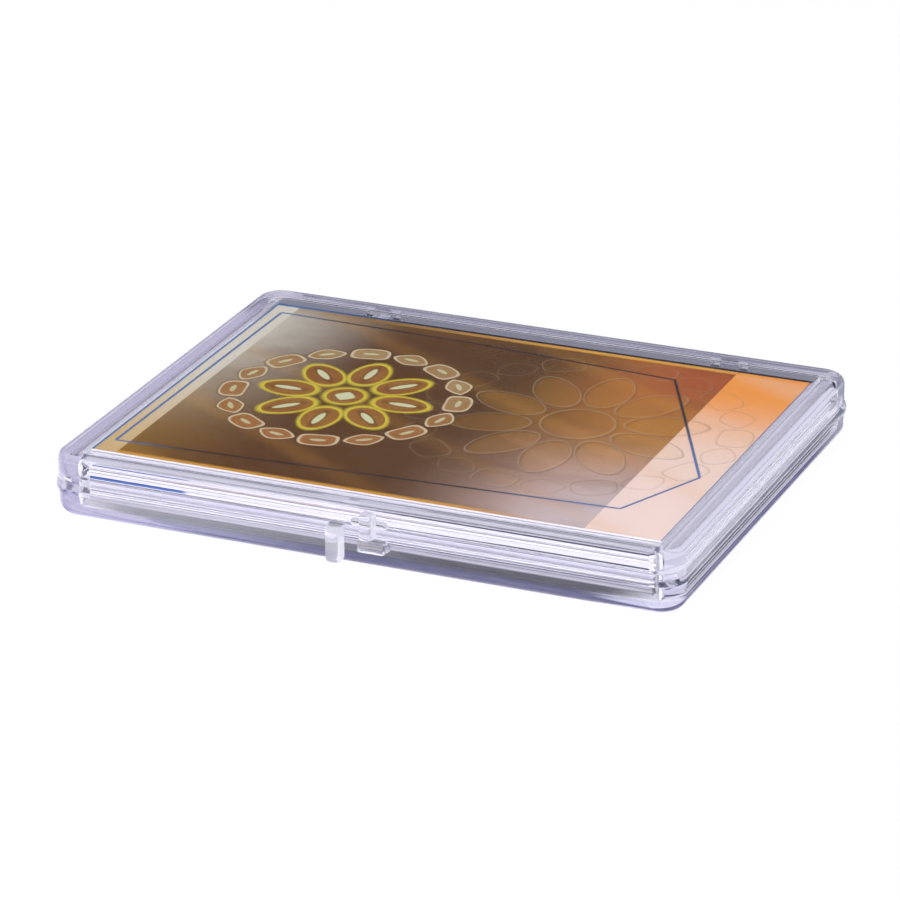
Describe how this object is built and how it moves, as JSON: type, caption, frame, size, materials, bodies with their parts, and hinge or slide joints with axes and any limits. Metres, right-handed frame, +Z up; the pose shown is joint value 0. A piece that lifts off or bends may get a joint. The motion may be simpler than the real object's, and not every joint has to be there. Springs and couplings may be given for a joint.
{
  "type": "trading card display case",
  "caption": "Flat hinged clear plastic case with rounded corners and two thumb tabs in front, filled with a stack of loose trading cards seen through its lid.",
  "frame": {"origin": "middle of the flat bottom face that the case rests on, level with the middle of its walls", "axes": "+X along the long side to the right of someone facing the thumb tabs, +Y from the tabs to the hinges, +Z up out of the lid"},
  "size_m": [0.098, 0.0802, 0.0097],
  "materials": {
    "clear_plastic": "clear moulded, polished",
    "card_face": "printed and coated",
    "card_stock": "cut edges, coated faces"
  },
  "bodies": {
    "case_base": {"base": "clear_plastic", "display_card": "card_face", "card_02": "card_stock", "card_03": "card_stock", "card_04": "card_stock", "card_05": "card_stock", "card_06": "card_stock", "card_07": "card_stock", "card_08": "card_stock", "card_09": "card_stock", "card_10": "card_stock", "card_11": "card_stock", "card_12": "card_stock", "card_13": "card_stock", "card_14": "card_stock", "card_15": "card_stock", "card_16": "card_stock", "card_17": "card_stock", "card_18": "card_stock"},
    "case_lid": {"lid": "clear_plastic"}
  },
  "joints": [
    {"name": "lid_hinge", "type": "hinge", "parent": "case_base", "child": "case_lid", "pos_m": [0, 0.0391, 0.0049], "axis": [-1, 0, 0], "range_deg": [0, 180]}
  ]
}
